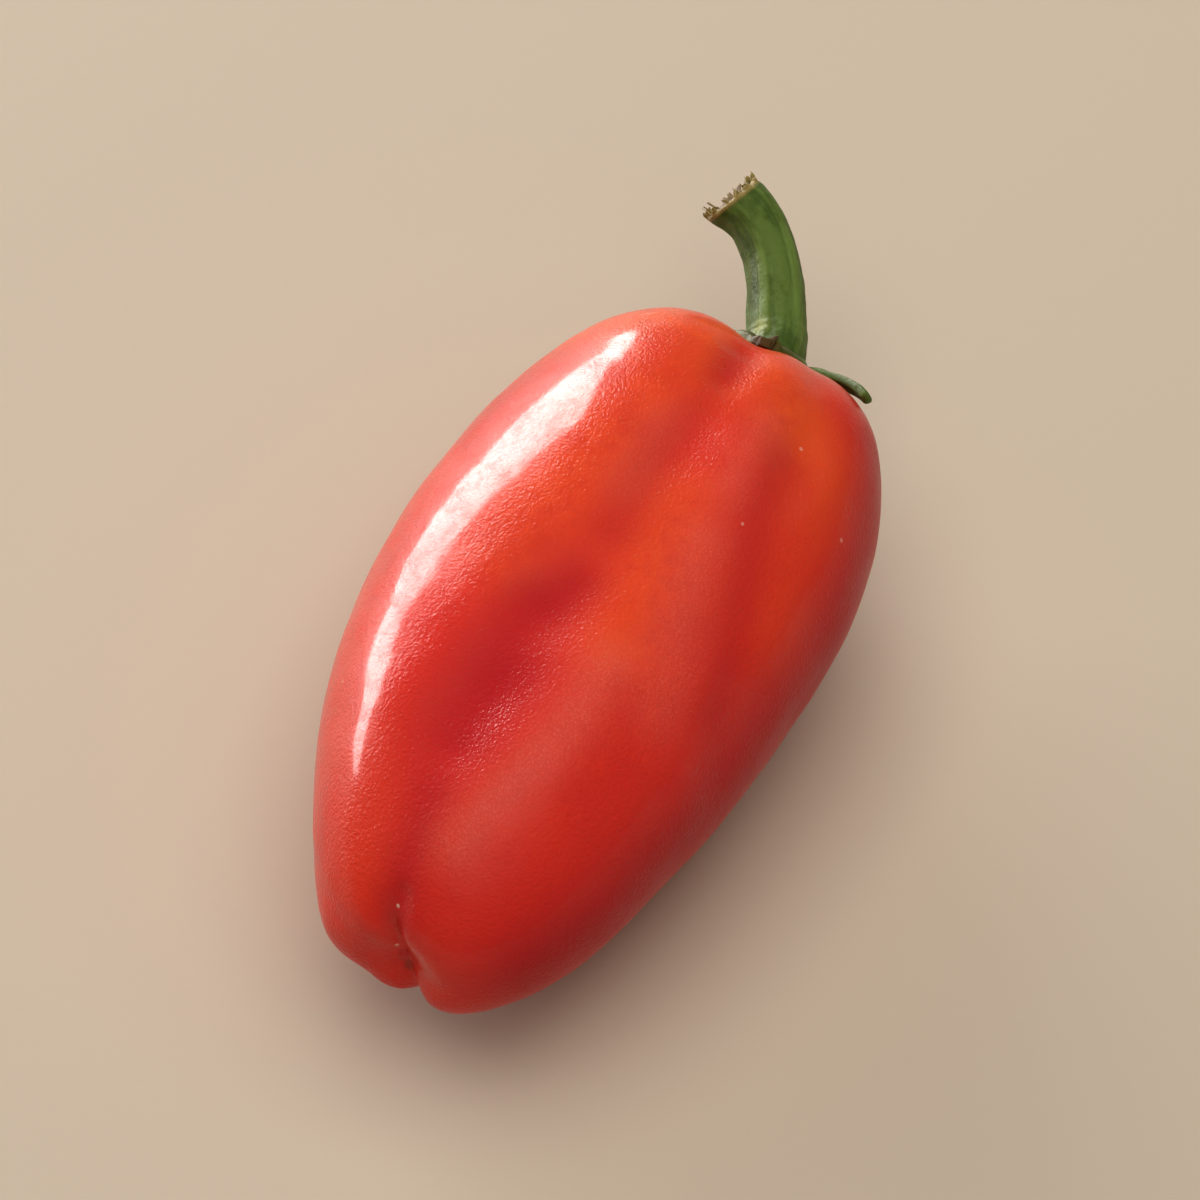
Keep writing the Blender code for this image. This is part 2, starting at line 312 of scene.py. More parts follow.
# %% [markdown]
# ## The pod: the tip
#
# At the tip the lobes meet round a small hollow, where the flower once stood. In the photograph only one
# sharp cleft shows there, between the left lobe and the right one. So the hollow's star of creases is
# smoothed first, the crease under the left lobe is filled, and the cleft is pressed in again as one line.

# %% Shape the tip
TIP = Vector((-0.0398, -0.0008, 0.0154))
TIP_REACH = 0.0042
TIP_ROUNDS = 40
FILLED_CREASE = (((-35.0, 335), (-38.5, 335)), 0.0007, 0.0048)
CLEFT_LINE = (
    Vector((-0.0384, 0.0000, 0.0226)),
    Vector((-0.0390, -0.0001, 0.0208)),
    Vector((-0.0398, -0.0004, 0.0174)),
    Vector((-0.0398, -0.0010, 0.0140)),
    Vector((-0.0394, -0.0018, 0.0105)),
    Vector((-0.0380, -0.0024, 0.0070)),
)
CLEFT_STEPS = 12
# The cleft is pressed twice, first broad and then narrow.
CLEFT_PRESSES = ((Vector((0.00045, 0, 0)), 0.0034), (Vector((0.00050, 0, 0)), 0.0018))
CLEFT_SIDE = 0.0021
CLEFT_ROUNDS = 6

start_editing(pod)
softened = select_points(pod, lambda point: (point.co - TIP).length < TIP_REACH)
bpy.ops.mesh.vertices_smooth(factor=0.5, repeat=TIP_ROUNDS)
stop_editing()
skin = tree_of([point.co for point in pod.data.vertices])
route, height, reach = FILLED_CREASE
footprints = walk(route)
crease = {skin.find(place)[1] for place, normal in footprints}
outwards = sum((normal for place, normal in footprints), Vector()).normalized()
cleft = set()
for start, end in zip(CLEFT_LINE, CLEFT_LINE[1:]):
    for step in range(CLEFT_STEPS):
        cleft.add(skin.find(start.lerp(end, step / CLEFT_STEPS))[1])
push_points([(crease, outwards * height, reach)])
push_points([(cleft, push, reach) for push, reach in CLEFT_PRESSES])
line = tree_of([pod.data.vertices[index].co for index in cleft])
start_editing(pod)
evened = select_points(pod, lambda point: line.find(point.co)[2] < CLEFT_SIDE)
bpy.ops.mesh.vertices_smooth(factor=0.5, repeat=CLEFT_ROUNDS)
stop_editing()
print("Points softened at the tip:", softened, "and evened along the cleft:", evened)

# %% [markdown]
# ## The pod: the flat spot
#
# The pepper's weight rests on a small flat spot. The waves moved its points a little, so those that went
# below the table are scaled flat onto it, which keeps the pod exactly as low as the frame's.

# %% Flatten what touches the table
TABLE_TOUCH = 0.00002

start_editing(pod)
resting = select_points(pod, lambda point: point.co.z < TABLE_TOUCH)
bpy.ops.transform.resize(value=(1, 1, 0), center_override=(0, 0, 0))
stop_editing()
print("Points on the table:", resting)

# %% [markdown]
# ## The pod: where the colour changes
#
# The red isn't one colour. It is crimson in the furrows and low on the sides, partly its own deeper red
# and partly painted shade, and orange-red on the shoulders by the stem, partly its own colour and partly
# painted light where they face the window. A pale painted sheen lies on the ridges. A picture could hold
# that, but masks stored on the points follow the real furrows. The first mask is measured: how far a point
# lies inside a smoothed copy of the skin. The others are painted with soft strokes, each along a route
# over the skin.

# %% Measure the hollows
SMOOTH_ROUNDS = 300
HOLLOW_DEPTH = 0.00045


def store(piece, name, values, kind="FLOAT", field="value"):
    """Stores one value for each point of the piece, which a material can read by its name."""
    piece.data.attributes.new(name, kind, "POINT").data.foreach_set(field, values)


smoothed = pod.copy()
smoothed.data = pod.data.copy()
bpy.context.scene.collection.objects.link(smoothed)
relax = smoothed.modifiers.new("relax", "SMOOTH")
relax.factor = 1.0
relax.iterations = SMOOTH_ROUNDS
apply_modifier(smoothed, "relax")
hollows = []
for point, relaxed in zip(pod.data.vertices, smoothed.data.vertices):
    depth = (relaxed.co - point.co).dot(point.normal) / HOLLOW_DEPTH
    hollows.append(max(-1.0, min(1.0, depth)))
store(pod, "hollow", hollows)
bpy.data.objects.remove(smoothed)
print("Deepest value of the mask:", round(max(hollows), 2))

# %% Paint the masks
Stroke = namedtuple("Stroke", "route strength reach")
# Crimson strokes: the furrows' deeper red, and painted shade in the dents and on the far side.
CRIMSON_AND_SHADE_STROKES = (
    # The main furrow, its two dents and the line into the tip: deeper red, and partly painted shade.
    Stroke(((24.0, 101), (18.0, 101)), 0.58, 0.0017),
    Stroke(((21.0, 101), (15.0, 101), (6.0, 98), (-2.5, 98)), 0.44, 0.0024),
    Stroke(((-14.0, 83), (-12.5, 88)), 0.40, 0.0027),
    Stroke(((-11.5, 92), (-9.0, 96)), 0.72, 0.0028),
    Stroke(((-12.5, 86), (-15.1, 88), (-17.5, 89)), 0.36, 0.0032),
    Stroke(((-19.0, 91), (-21.6, 90), (-25.0, 88)), 0.88, 0.0040),
    Stroke(((-20.0, 76), (-27.0, 72)), 0.35, 0.0045),
    Stroke(((-31.0, 86), (-36.7, 87), (-39.0, 92)), 0.70, 0.0026),
    # The right lobe's furrow, and painted shade on the side turned away from the window.
    Stroke(((12.0, 130), (5.7, 130), (-4.0, 141), (-12.0, 149)), 0.45, 0.0026),
    Stroke(((21.0, 164), (10.0, 168), (0.0, 176), (-18.0, 172), (-36.0, 176)), 0.95, 0.0068),
    # The furrows that the photograph doesn't show.
    Stroke(((18.0, 215), (-5.0, 212), (-20.0, 230), (-33.0, 252)), 0.65, 0.0040),
    Stroke(((18.0, 335), (0.0, 334), (-18.0, 322), (-33.0, 312)), 0.65, 0.0040),
)
# Orange-red strokes: the shoulders' own colour, and painted light where shoulder and ridges face the
# window.
ORANGE_AND_LIGHT_STROKES = (
    Stroke(((21.0, 60), (22.5, 76), (20.0, 92)), 1.00, 0.0060),
    Stroke(((20.0, 110), (18.5, 130), (15.0, 146)), 1.00, 0.0058),
    Stroke(((13.0, 80), (2.0, 78), (-8.0, 72)), 0.60, 0.0046),
    Stroke(((3.0, 107), (-8.0, 113), (-12.0, 115)), 0.55, 0.0040),
    Stroke(((8.0, 146), (-2.0, 152)), 0.40, 0.0045),
    Stroke(((-28.0, 52), (-37.0, 50)), 0.15, 0.0050),
    Stroke(((20.0, 190), (20.0, 225), (21.0, 265), (21.0, 310), (21.0, 350), (21.0, 390)), 0.75, 0.0060),
)
# Painted sheen: pale strokes where the ridges and the right lobe show a soft reflection.
PAINTED_SHEEN_STROKES = (
    Stroke(((-15.0, 116), (-21.0, 116), (-27.3, 112), (-34.0, 104)), 0.90, 0.0026),
    Stroke(((0.0, 121), (-5.7, 126), (-10.4, 131), (-15.2, 135)), 0.70, 0.0030),
    Stroke(((14.6, 121), (9.9, 118), (6.0, 120)), 0.60, 0.0024),
    Stroke(((9.0, 92), (2.0, 93)), 0.45, 0.0026),
    Stroke(((0.0, 25), (-15.0, 22), (-28.0, 30)), 0.50, 0.0040),
    Stroke(((5.0, 290), (-12.0, 288)), 0.50, 0.0045),
)


def paint(name, strokes):
    """Stores a mask on the points, where each stroke adds to what lies below it."""
    bare = [1.0] * len(pod.data.vertices)
    for stroke in strokes:
        near = tree_of([place for place, normal in walk(stroke.route)])
        for index, point in enumerate(pod.data.vertices):
            distance = near.find(point.co)[2]
            bare[index] *= 1 - stroke.strength * bell(distance / stroke.reach)
    mask = [1 - left for left in bare]
    store(pod, name, mask)
    return sum(mask) / len(mask)


# The masks: crimson with painted shade, orange-red with painted light, and a painted sheen.
print("Crimson share:", round(paint("crimson_and_shade", CRIMSON_AND_SHADE_STROKES), 2))
print("Orange share:", round(paint("orange_and_light", ORANGE_AND_LIGHT_STROKES), 2))
print("Wax share:", round(paint("painted_sheen", PAINTED_SHEEN_STROKES), 2))

# %% [markdown]
# ## Node helpers
#
# A material is a tree of nodes. Written out in full each node takes many lines, so one helper adds a node
# and sets its values, and another feeds an input. The others each add a kind of node that comes up often.


# %% Helpers for materials
def new_material(name):
    material = bpy.data.materials.new(name)
    material.use_nodes = True
    tree = material.node_tree
    return material, tree, tree.nodes["Principled BSDF"]


def set_inputs(node, values):
    for socket, value in values.items():
        node.inputs[socket].default_value = value


def add_node(tree, kind, values=None, **settings):
    """Adds a node, then sets its properties and the values of its unlinked inputs."""
    node = tree.nodes.new(kind)
    for name, value in settings.items():
        setattr(node, name, value)
    set_inputs(node, values or {})
    return node


def feed(tree, value, socket):
    """Gives an input a plain number, a plain colour or the output of another node."""
    if isinstance(value, (int, float)):
        socket.default_value = value
    elif isinstance(value, tuple):
        socket.default_value = (*value, 1.0)
    else:
        tree.links.new(value, socket)


def remap(tree, value, start, end, low=0.0, high=1.0):
    """A smooth step: the value's range from start to end becomes low to high."""
    limits = {"From Min": start, "From Max": end, "To Min": low, "To Max": high}
    node = add_node(tree, "ShaderNodeMapRange", limits, interpolation_type="SMOOTHSTEP")
    feed(tree, value, node.inputs["Value"])
    return node.outputs["Result"]


def mix_colour(tree, factor, first, second):
    """Mixes two colours, each a socket or a plain value, by a mask."""
    node = add_node(tree, "ShaderNodeMix", data_type="RGBA")
    feed(tree, factor, node.inputs["Factor"])
    feed(tree, first, node.inputs[6])
    feed(tree, second, node.inputs[7])
    return node.outputs[2]


def calculate(tree, operation, first, second):
    node = add_node(tree, "ShaderNodeMath", operation=operation)
    feed(tree, first, node.inputs[0])
    feed(tree, second, node.inputs[1])
    return node.outputs[0]


def multiply(tree, first, second):
    return calculate(tree, "MULTIPLY", first, second)


def noise(tree, place, per_metre, detail, roughness):
    """Cloudy noise, read at the place given."""
    node = add_node(tree, "ShaderNodeTexNoise", {"Detail": detail, "Roughness": roughness})
    feed(tree, place, node.inputs["Vector"])
    feed(tree, per_metre, node.inputs["Scale"])
    return node.outputs[0]


def read_mask(tree, name):
    return add_node(tree, "ShaderNodeAttribute", attribute_name=name).outputs["Fac"]


print("Node helpers ready")

# %% [markdown]
# ## Two effects that both skins share
#
# Both skins have soft blotches of stronger and weaker colour, and a fine grain of cells that breaks up the
# highlights. Each is a node group, built once and placed in both materials with its own sizes. Both groups
# take a place and a size, and give out one value.

# %% Shared effects
FINE_PATCHES = 7.0
FINE_SHARE = 0.45
PATCH_RANGE = (0.52, 0.92)
SLOWER_ROLL = 0.55
CELL_DEPTH = 0.6


def new_effect(name, size_label, result_label):
    group = bpy.data.node_groups.new(name, "ShaderNodeTree")
    group.interface.new_socket("Place", in_out="INPUT", socket_type="NodeSocketVector")
    group.interface.new_socket(size_label, in_out="INPUT", socket_type="NodeSocketFloat")
    group.interface.new_socket(result_label, in_out="OUTPUT", socket_type="NodeSocketFloat")
    given = group.nodes.new("NodeGroupInput").outputs
    result = group.nodes.new("NodeGroupOutput").inputs[0]
    return group, given[0], given[1], result


def make_blotches():
    """A mask of soft patches in two sizes."""
    group, place, per_metre, result = new_effect("blotches", "Patches per metre", "Mask")
    broad = noise(group, place, per_metre, 2.0, 0.5)
    fine = noise(group, place, multiply(group, per_metre, FINE_PATCHES), 3.0, 0.6)
    both = calculate(group, "ADD", broad, multiply(group, fine, FINE_SHARE))
    feed(group, remap(group, both, *PATCH_RANGE), result)
    return group


def make_cells():
    """The height of fine, rounded cells, with a slower roll under them."""
    group, place, per_metre, result = new_effect("skin_cells", "Cells per metre", "Height")
    cells = add_node(group, "ShaderNodeTexVoronoi", {"Randomness": 1.0}, feature="SMOOTH_F1")
    feed(group, place, cells.inputs["Vector"])
    feed(group, per_metre, cells.inputs["Scale"])
    roll = noise(group, place, multiply(group, per_metre, SLOWER_ROLL), 2.0, 0.5)
    feed(group, calculate(group, "SUBTRACT", roll, multiply(group, cells.outputs[0], CELL_DEPTH)), result)
    return group


def place_effect(tree, effect, place, per_metre):
    node = add_node(tree, "ShaderNodeGroup", node_tree=effect)
    feed(tree, place, node.inputs[0])
    feed(tree, per_metre, node.inputs[1])
    return node.outputs[0]


blotches = make_blotches()
skin_cells = make_cells()
print("Shared effects:", blotches.name, skin_cells.name)

# %% [markdown]
# ## The red skin
#
# Ripe pepper skin is a deep red flesh under a clear, waxy film. One glossy layer would look like plastic,
# because the flesh scatters light softly while the wax mirrors the window. So the shader has a fairly
# rough base with some light carried under the surface, and a smooth clear coat on top. The base colour
# follows the painted and measured masks, which carry painted shade, painted light and a painted sheen.
# Soft blotches vary it, and the painted sheen breaks into fine, pale speckles.

# %% The colour of the red flesh
RED = (0.74, 0.032, 0.017)
# The crimson of the furrows, which also serves as painted shade.
CRIMSON_AND_SHADE = (0.48, 0.010, 0.015)
ORANGE_RED_AND_LIGHT = (0.86, 0.088, 0.012)
# The pale red of the painted sheen.
PAINTED_SHEEN_RED = (0.88, 0.200, 0.130)
ORANGE_SHARES = (0.75, 1.0)
HOLLOW_SHADE_SHARE = 0.55
SIDE_SHADE_HEIGHTS = (0.020, 0.002)
SIDE_SHADE_SHARE = 0.60
PATCH_SHARE = 0.24
SHEEN_SPECKLE_RANGE = (0.45, 0.70)
PAINTED_SHEEN_SHARES = (0.18, 0.46)


def colour_flesh(tree, height, patchy, dust_and_sheen):
    # Painted light, in part: the orange mask brightens the shoulders and ridges that face the window.
    orange_and_light = multiply(tree, read_mask(tree, "orange_and_light"), remap(tree, patchy, 0.0, 1.0, *ORANGE_SHARES))
    # Painted shade: the measured hollows and the low sides are mixed towards crimson.
    hollow_shade = remap(tree, read_mask(tree, "hollow"), 0.0, 1.0, 0.0, HOLLOW_SHADE_SHARE)
    low = remap(tree, height, *SIDE_SHADE_HEIGHTS, 0.0, SIDE_SHADE_SHARE)
    crimson_and_shade = calculate(tree, "MAXIMUM", read_mask(tree, "crimson_and_shade"), calculate(tree, "MAXIMUM", hollow_shade, low))
    crimson_and_shade = calculate(tree, "MAXIMUM", crimson_and_shade, remap(tree, patchy, 1.0, 0.0, 0.0, PATCH_SHARE))
    colour = mix_colour(tree, orange_and_light, RED, ORANGE_RED_AND_LIGHT)
    colour = mix_colour(tree, crimson_and_shade, colour, CRIMSON_AND_SHADE)
    # Painted sheen: the sheen mask, broken into speckles by the dust noise, mixes towards pale red.
    painted_sheen = multiply(tree, read_mask(tree, "painted_sheen"), remap(tree, dust_and_sheen, *SHEEN_SPECKLE_RANGE, *PAINTED_SHEEN_SHARES))
    return mix_colour(tree, painted_sheen, colour, PAINTED_SHEEN_RED)


print("Red flesh goes from", CRIMSON_AND_SHADE, "to", ORANGE_RED_AND_LIGHT)

# %% [markdown]
# ## The red skin: small marks
#
# A few pale specks are scattered over the skin, two sit by the tip, a short pale line crosses the shoulder
# and a brown scar marks where the flower was. They could be tiny pieces, but they have no height, so they
# are colour. A cell pattern gives the scattered specks. The others are soft round spots at places on the
# skin, and the pale line is a row of spots that overlap and get smaller towards both ends.

# %% Specks, pale line and scar
Spot = namedtuple("Spot", "place size strength")
SPECK = (0.85, 0.55, 0.42)
SPECKS_PER_METRE = 190.0
SPECK_EDGE = (0.045, 0.030)
RARE_SPECKS = (0.66, 0.68)
SPECK_SHARE = 0.40
TIP_SPECKS = (
    Spot((-0.0391, 0.0005, 0.0220), 0.00018, 0.60),
    Spot((-0.0399, -0.0003, 0.0169), 0.00018, 0.60),
)
PALE_LINE_START = Vector((0.0218, 0.0076, 0.0275))
PALE_LINE_END = Vector((0.0231, 0.0064, 0.0276))
PALE_LINE_PARTS = 14
PALE_LINE_HALF_WIDTH = 0.00016
PALE_LINE_TAPER = 0.45
PALE_LINE_SHARE = 0.36
SCAR_BROWN = (0.16, 0.030, 0.012)
TIP_SCAR = Spot((-0.0390, -0.0010, 0.0142), 0.0006, 0.45)
SPOT_EDGE = (1.3, 0.7)


def spot_mask(tree, place, spot):
    """A mask of one soft round spot, at the place on the skin that is closest to the one given."""
    away = add_node(tree, "ShaderNodeVectorMath", operation="DISTANCE")
    feed(tree, place, away.inputs[0])
    away.inputs[1].default_value = pod.closest_point_on_mesh(spot.place)[1]
    edge = [spot.size * share for share in SPOT_EDGE]
    return remap(tree, away.outputs["Value"], *edge, 0.0, spot.strength)


def pale_line_spots():
    for part in range(PALE_LINE_PARTS + 1):
        share = part / PALE_LINE_PARTS
        width = PALE_LINE_HALF_WIDTH * (PALE_LINE_TAPER + (1 - PALE_LINE_TAPER) * sin(pi * share))
        yield Spot(PALE_LINE_START.lerp(PALE_LINE_END, share), width, PALE_LINE_SHARE)


def add_marks(tree, place, colour):
    dots = add_node(tree, "ShaderNodeTexVoronoi", {"Scale": SPECKS_PER_METRE, "Randomness": 1.0})
    feed(tree, place, dots.inputs["Vector"])
    split = add_node(tree, "ShaderNodeSeparateColor")
    feed(tree, dots.outputs["Color"], split.inputs[0])
    rare = multiply(tree, remap(tree, split.outputs[0], *RARE_SPECKS), SPECK_SHARE)
    speck = multiply(tree, remap(tree, dots.outputs["Distance"], *SPECK_EDGE), rare)
    for spot in (*TIP_SPECKS, *pale_line_spots()):
        speck = calculate(tree, "MAXIMUM", speck, spot_mask(tree, place, spot))
    colour = mix_colour(tree, speck, colour, SPECK)
    return mix_colour(tree, spot_mask(tree, place, TIP_SCAR), colour, SCAR_BROWN)


print("Single spots:", len(TIP_SPECKS) + len(list(pale_line_spots())) + 1)

# %% [markdown]
# ## The red skin: gloss and relief
#
# The wax shines most on top of the pod, and less low down, in the furrows and where it is smeared or dusty.
# An even coat would draw a clean white streak, as on plastic, so a mask weakens the coat. The fine cells of
# the skin are raised as bump, because they are smaller than the mesh's faces.

# %% Put the red skin together
RED_PATCHES = 110.0
RED_CELLS = 4600.0
DUST_AND_SHEEN_PER_METRE = 5200.0
SMEARS_PER_METRE = 420.0
GLOSS_HEIGHTS = (0.010, 0.023)
GLOSS_SHARES = (0.08, 0.66)
FURROW_GLOSS = 0.25
RED_ROUGHNESS = (0.30, 0.38)
BUMP_HEIGHT = 0.00008
RED_FINISH = {
    "Subsurface Weight": 0.18,
    "Subsurface Radius": (1.0, 0.16, 0.08),
    "Subsurface Scale": 0.0025,
    "Specular IOR Level": 0.09,
    "Coat Roughness": 0.12,
    "Coat IOR": 1.45,
}


def weaken_gloss(tree, place, height, dust_and_sheen):
    gloss = remap(tree, height, *GLOSS_HEIGHTS, *GLOSS_SHARES)
    smears = noise(tree, place, SMEARS_PER_METRE, 4.0, 0.7)
    gloss = multiply(tree, gloss, remap(tree, smears, 0.30, 0.60, 0.45, 1.0))
    gloss = multiply(tree, gloss, remap(tree, dust_and_sheen, 0.62, 0.42, 0.55, 1.0))
    return multiply(tree, gloss, remap(tree, read_mask(tree, "crimson_and_shade"), 0.0, 1.0, 1.0, FURROW_GLOSS))


def add_bump(tree, shader, height, strength):
    bump = add_node(tree, "ShaderNodeBump", {"Strength": strength, "Distance": BUMP_HEIGHT})
    feed(tree, height, bump.inputs["Height"])
    feed(tree, bump.outputs["Normal"], shader.inputs["Normal"])


def make_red_skin():
    material, tree, shader = new_material("red_pepper_skin")
    place = add_node(tree, "ShaderNodeTexCoord").outputs["Object"]
    split_place = add_node(tree, "ShaderNodeSeparateXYZ")
    feed(tree, place, split_place.inputs[0])
    height = split_place.outputs["Z"]
    patchy = place_effect(tree, blotches, place, RED_PATCHES)
    dust_and_sheen = noise(tree, place, DUST_AND_SHEEN_PER_METRE, 2.0, 0.6)
    colour = colour_flesh(tree, height, patchy, dust_and_sheen)
    feed(tree, add_marks(tree, place, colour), shader.inputs["Base Color"])
    feed(tree, remap(tree, patchy, 0.0, 1.0, *RED_ROUGHNESS), shader.inputs["Roughness"])
    feed(tree, weaken_gloss(tree, place, height, dust_and_sheen), shader.inputs["Coat Weight"])
    add_bump(tree, shader, place_effect(tree, skin_cells, place, RED_CELLS), 1.0)
    set_inputs(shader, RED_FINISH)
    return material


red_skin = make_red_skin()
pod.data.materials.clear()
pod.data.materials.append(red_skin)
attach(pod, "root")
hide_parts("pod")
print("Red skin on", pod.name)

# %% [markdown]
# ## The calyx: a wrinkled sheet with fingers
#
# The calyx is the green disc that was the base of the flower. It lies in the pod's stem hollow, rises to
# the stem in the middle and ends in six blunt fingers. It could be a lofted surface, but it is easier to
# grow it as the plant does, from the middle outwards: a circle is extruded into rings, and at six places
# the rim is extruded on into a finger, and the outline is softened. The flat sheet is then dropped onto the
# pod with a Shrinkwrap modifier, so that it follows the hollow and the shoulders. A midrib is raised along
# each finger and fine pleats between them, and a Solidify modifier gives the sheet its thickness.

# %% Where the stem grows
AXIS_SIDE = -0.0013
AXIS_HEIGHT = 0.0169
FAR_OUT = 0.060
STEM_LIFT = 0.00185

_, hollow_floor, _, _ = pod.ray_cast(Vector((FAR_OUT, AXIS_SIDE, AXIS_HEIGHT)), Vector((-1, 0, 0)))
stem_foot = hollow_floor + Vector((STEM_LIFT, 0, 0))
print("Floor of the stem hollow:", [round(value / MM, 2) for value in hollow_floor])

# %% Grow the rings of the sheet
COLUMNS = 72
FIRST_RADIUS = 0.0030
RING_RADII = (0.0034, 0.0040, 0.0047, 0.0054, 0.0060)
COLUMN_OFFSET = radians(2)
SHEET_START = 0.036

bpy.ops.object.select_all(action="DESELECT")
bpy.ops.mesh.primitive_circle_add(
    vertices=COLUMNS,
    radius=FIRST_RADIUS,
    fill_type="NGON",
    location=(SHEET_START, AXIS_SIDE, AXIS_HEIGHT),
    rotation=(0, radians(90), 0),
)
green = bpy.context.object
green.name = "green_stem_and_calyx"
green.data.name = "green_stem_and_calyx"
bpy.ops.object.transform_apply(location=True, rotation=True, scale=True)
sheet_middle = Vector((SHEET_START, AXIS_SIDE, AXIS_HEIGHT))

start_editing(green)
bpy.ops.mesh.select_all(action="SELECT")
bpy.ops.transform.rotate(value=-COLUMN_OFFSET, orient_axis="X", center_override=sheet_middle)
radius = FIRST_RADIUS
bpy.ops.mesh.select_mode(type="EDGE")
bpy.ops.mesh.select_all(action="SELECT")
for next_radius in RING_RADII:
    bpy.ops.mesh.extrude_edges_move()
    growth = next_radius / radius
    bpy.ops.transform.resize(value=(1, growth, growth), center_override=sheet_middle)
    radius = next_radius
print("Rings grown:", len(RING_RADII))

# %% Grow the fingers
Finger = namedtuple("Finger", "angle reach")
FINGERS = (
    Finger(32, 0.0080),
    Finger(97, 0.0066),
    Finger(157, 0.0120),
    Finger(212, 0.0098),
    Finger(272, 0.0104),
    Finger(332, 0.0090),
)
FINGER_HALF_ANGLE = radians(11)
RIM_SHARE = 0.98
FINGER_STEPS = 6
FINGER_NARROWING = (1.00, 0.92, 0.94, 1.00, 0.90, 0.50)
OUTLINE_ROUNDS = 4


def about_axis(place):
    """The distance of a place from the stem hollow's axis, and its angle round that axis."""
    return (
        hypot(place.y - AXIS_SIDE, place.z - AXIS_HEIGHT),
        atan2(place.z - AXIS_HEIGHT, place.y - AXIS_SIDE),
    )


def on_rim_at(angle):
    """A test for the points of the rim that lie close to an angle."""

    def test(point):
        distance, turn = about_axis(point.co)
        at_edge = distance > RING_RADII[-1] * RIM_SHARE
        return at_edge and abs(turn_between(turn, angle)) < FINGER_HALF_ANGLE

    return test


for finger in FINGERS:
    angle = radians(finger.angle)
    outwards = Vector((0, cos(angle), sin(angle)))
    across = Vector((0, -sin(angle), cos(angle)))
    select_points(green, on_rim_at(angle))
    bpy.ops.mesh.select_mode(type="EDGE")
    step_length = (finger.reach - RING_RADII[-1]) / FINGER_STEPS
    distance = RING_RADII[-1]
    for narrowing in FINGER_NARROWING:
        bpy.ops.mesh.extrude_edges_move(TRANSFORM_OT_translate={"value": outwards * step_length})
        distance += step_length
        shrink = [1 - (1 - narrowing) * abs(axis) for axis in across]
        bpy.ops.transform.resize(value=shrink, center_override=sheet_middle + outwards * distance)
select_points(green, lambda point: about_axis(point.co)[0] > RING_RADII[1])
bpy.ops.mesh.vertices_smooth(factor=0.5, repeat=OUTLINE_ROUNDS)
stop_editing()
print("Fingers grown:", len(FINGERS), "faces:", len(green.data.polygons))

# %% Drop the sheet onto the pod
SKIN_GAP = 0.00035
SHEET_THICKNESS = 0.0008
CROWN_HEIGHT = 0.0032
CROWN_RADIUS = 0.0042
SAME_RING = 0.0001
SPOKE_HALF_WIDTH = 0.00022
MIDRIB_HEIGHT = 0.00028
MIDRIB_REACH = 0.0011
PLEATS = (12, 52, 75, 117, 138, 176, 193, 232, 252, 292, 312, 350)
PLEAT_HEIGHT = 0.00016

drop = green.modifiers.new("drop", "SHRINKWRAP")
drop.target = pod
drop.wrap_method = "PROJECT"
drop.wrap_mode = "ABOVE_SURFACE"
drop.use_project_x = True
drop.use_project_y = False
drop.use_project_z = False
drop.use_negative_direction = True
drop.use_positive_direction = False
drop.offset = SKIN_GAP
apply_modifier(green, "drop")

start_editing(green)
for ring_radius in (FIRST_RADIUS, *RING_RADII):
    select_points(green, lambda point: abs(about_axis(point.co)[0] - ring_radius) < SAME_RING)
    rise = CROWN_HEIGHT * bell(ring_radius / CROWN_RADIUS)
    bpy.ops.transform.translate(value=(rise, 0, 0))


def raise_spokes(angles, height, reach):
    """Raises the points that lie on lines from the middle outwards, together with what is near them."""
    for angle in angles:

        def on_spoke(point):
            distance, turn = about_axis(point.co)
            aside = abs(turn_between(turn, radians(angle))) * distance
            return distance > RING_RADII[0] and aside < SPOKE_HALF_WIDTH

        select_points(green, on_spoke)
        drag((height, 0, 0), reach)


raise_spokes([finger.angle for finger in FINGERS], MIDRIB_HEIGHT, MIDRIB_REACH)
raise_spokes(PLEATS, PLEAT_HEIGHT, MIDRIB_REACH)
stop_editing()

thicken = green.modifiers.new("thicken", "SOLIDIFY")
thicken.thickness = SHEET_THICKNESS
thicken.offset = 1.0
thicken.use_even_offset = True
apply_modifier(green, "thicken")
print("Calyx faces:", len(green.data.polygons))

# %% [markdown]
# ## The stem: one face extruded along a bent line
#
# The stem grows out of the middle of the calyx, bends over to one side and ends where it was torn from the
# plant. It could be a curve with a bevel, but then it would be a separate tube stuck in the calyx. The
# middle face of the calyx is extruded along the stem's line instead, so both stay one skin. The points of
# that line are the same as in the frame's solid.

# %% The stem's line
StemPoint = namedtuple("StemPoint", "x y z radius")
STEM_POINTS = (
    StemPoint(0.0000, 0.0000, 0.0000, 0.0031),
    StemPoint(0.0036, 0.0002, 0.0001, 0.0028),
    StemPoint(0.0062, 0.0013, 0.0006, 0.0026),
    StemPoint(0.0089, 0.0027, 0.0015, 0.0025),
    StemPoint(0.0114, 0.0046, 0.0025, 0.0024),
    StemPoint(0.0132, 0.0069, 0.0036, 0.0025),
    StemPoint(0.0140, 0.0096, 0.0044, 0.0027),
    StemPoint(0.0143, 0.0126, 0.0050, 0.0029),
)
CUT_POINT = Vector((0.0137, 0.0094, 0.0042))
CUT_NORMAL = Vector((0.25, 0.83, 0.50)).normalized()
STEPS_PER_POINT = 5
STEM_MARGIN = 0.0004


def curve_through(before, start, end, after, share):
    """A smooth curve through four values, read between the middle two."""
    bend = 2 * before - 5 * start + 4 * end - after
    turn = 3 * (start - end) + after - before
    return start + 0.5 * share * (end - before + share * (bend + share * turn))


